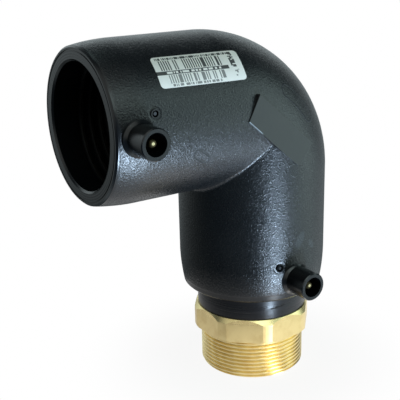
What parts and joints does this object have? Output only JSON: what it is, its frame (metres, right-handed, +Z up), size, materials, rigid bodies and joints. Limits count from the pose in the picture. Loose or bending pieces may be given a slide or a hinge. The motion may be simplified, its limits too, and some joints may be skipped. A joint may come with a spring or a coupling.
{
  "type": "electrofusion elbow",
  "caption": "Right-angle electrofusion elbow in black polyethylene: an open pipe socket with terminal shrouds, and a brass male-threaded adapter welded into the other socket.",
  "frame": {"origin": "centre of the thread's lower end face, on which the elbow stands", "axes": "+Z up the axis of the threaded leg; the pipe socket opens towards -X; terminals and indicators face -Y"},
  "size_m": [0.1442, 0.096, 0.1954],
  "materials": {
    "polyethylene": "fine grain, satin",
    "pipe_polyethylene": "turned, satin",
    "resistance_wire": "drawn",
    "terminal_brass": "turned",
    "insert_brass": "machined, bright",
    "indicator_plastic": "satin",
    "seal_rubber": "matte",
    "label_paper": "matte"
  },
  "bodies": {
    "root": {"elbow_body": "polyethylene", "heating_wire": "resistance_wire", "pipe_terminal_pin": "terminal_brass", "adapter_terminal_pin": "terminal_brass", "pipe_fusion_indicator": "indicator_plastic", "adapter_fusion_indicator": "indicator_plastic", "spigot_sleeve": "pipe_polyethylene", "threaded_insert": "insert_brass", "seal_ring": "seal_rubber", "barcode_label": "label_paper"}
  },
  "joints": []
}
